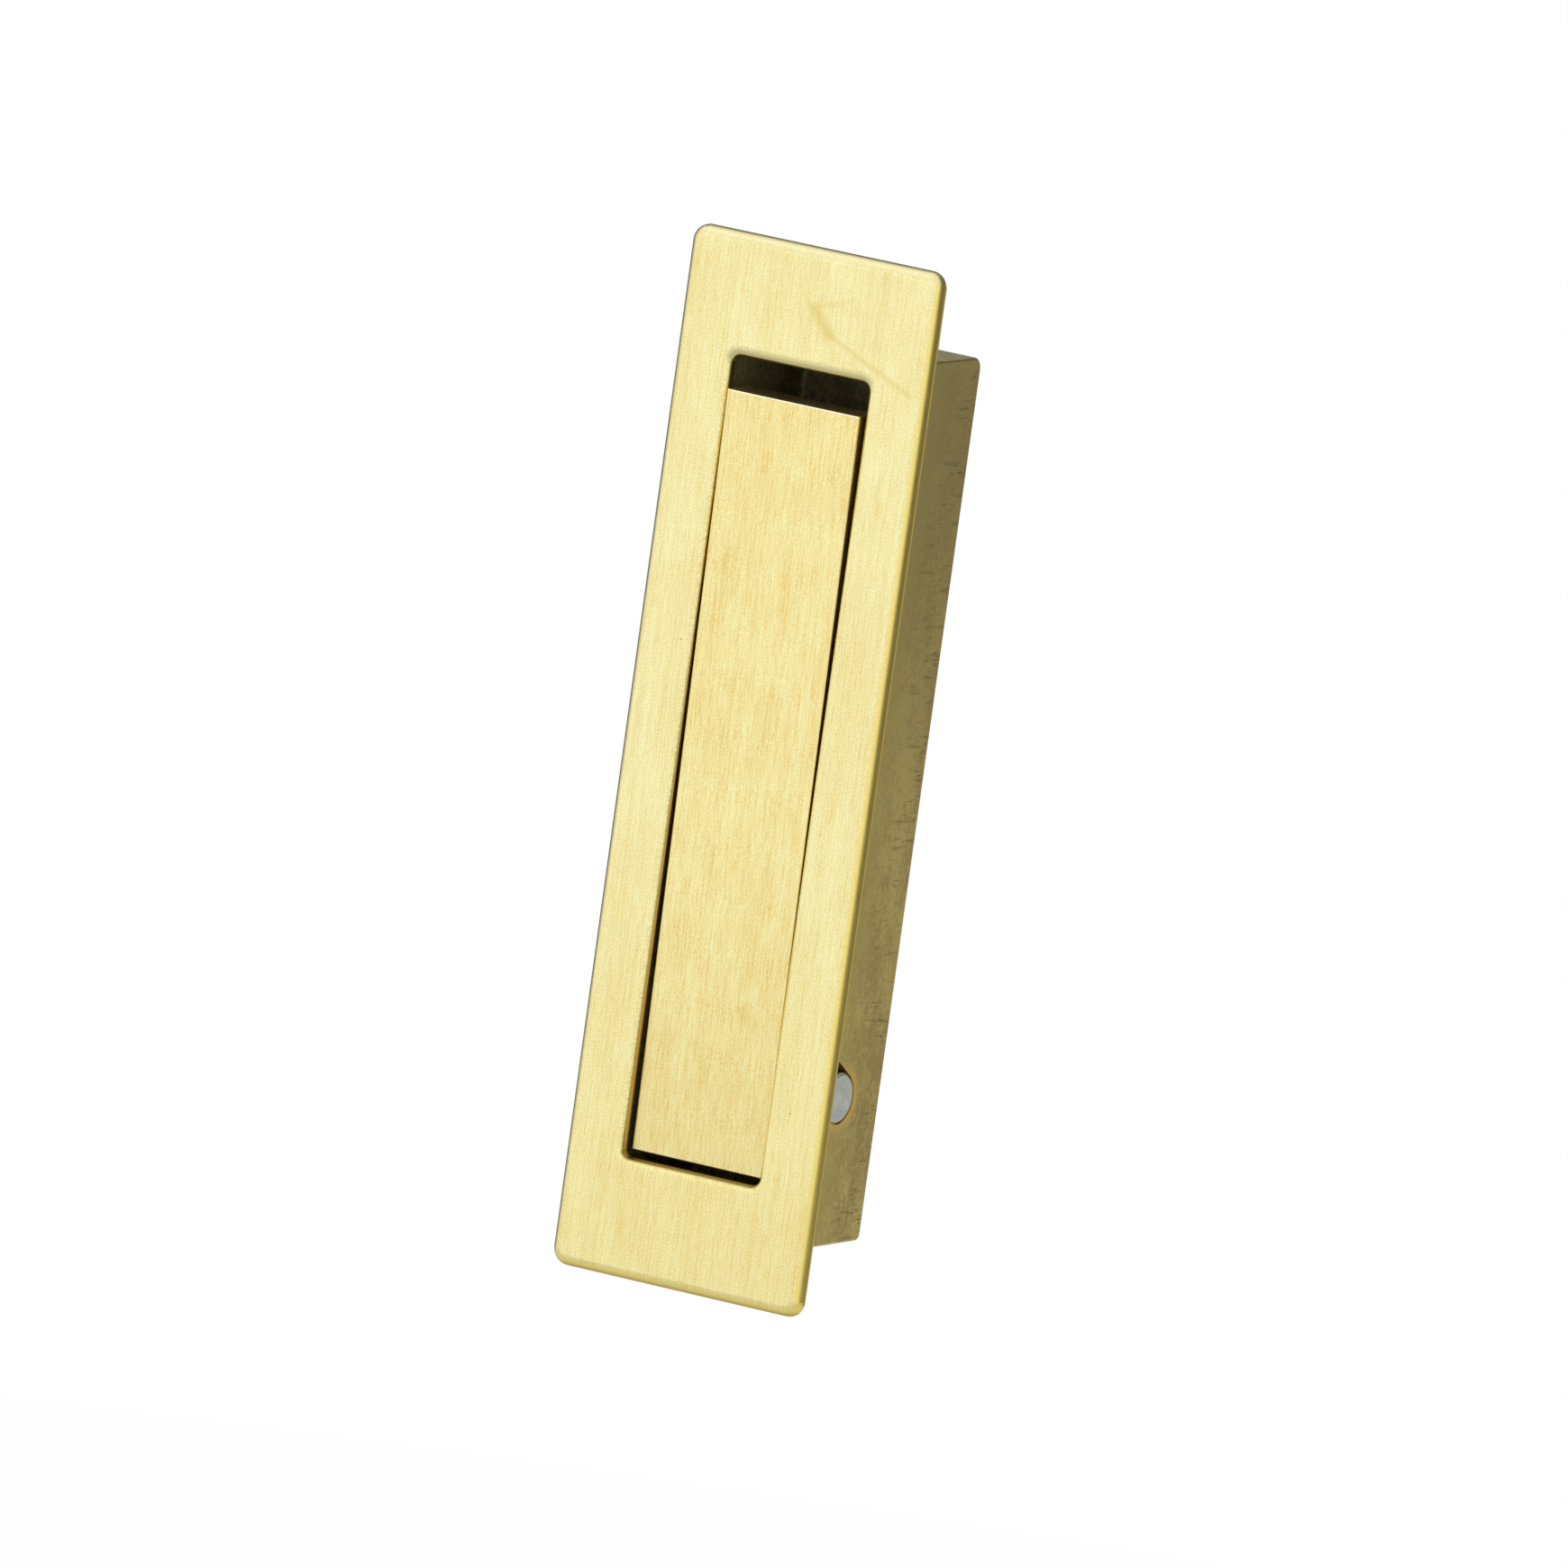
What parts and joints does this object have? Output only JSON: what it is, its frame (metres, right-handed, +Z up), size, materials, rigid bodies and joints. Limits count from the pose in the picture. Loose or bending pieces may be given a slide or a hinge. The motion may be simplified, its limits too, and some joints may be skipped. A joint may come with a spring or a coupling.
{
  "type": "pocket door pull",
  "caption": "Edge pull for a pocket door: a flush face plate on a closed recessed box, with a sprung lever that tips out at its top as a finger grip when its toe is pressed.",
  "frame": {"origin": "middle of the face plate's rear plane, which bears on the edge of the door", "axes": "+Z up along the pull, +Y into the door, +X to the right as the user faces the plate"},
  "size_m": [0.03, 0.0199, 0.11],
  "materials": {
    "plate_brass": "satin, brushed lengthwise",
    "lever_brass": "satin, brushed lengthwise",
    "box_brass": "dull, as cast and tumbled",
    "pin_steel": "faced flat and satin",
    "spring_steel": "drawn wire",
    "washer_nylon": "black nylon"
  },
  "bodies": {
    "housing": {"face_plate": "plate_brass", "back_box": "box_brass", "return_spring": "spring_steel"},
    "swing_lever": {"lever": "lever_brass", "pivot_pin": "pin_steel", "washer_right": "washer_nylon", "washer_left": "washer_nylon"}
  },
  "joints": [
    {"name": "lever_swing", "type": "hinge", "parent": "housing", "child": "swing_lever", "pos_m": [0, 0.0096, -0.0333], "axis": [1, 0, 0], "range_deg": [0, 45], "stiffness_Nm_per_rad": 0.02, "springref_deg": -34.38, "deforming": ["return_spring"]}
  ]
}
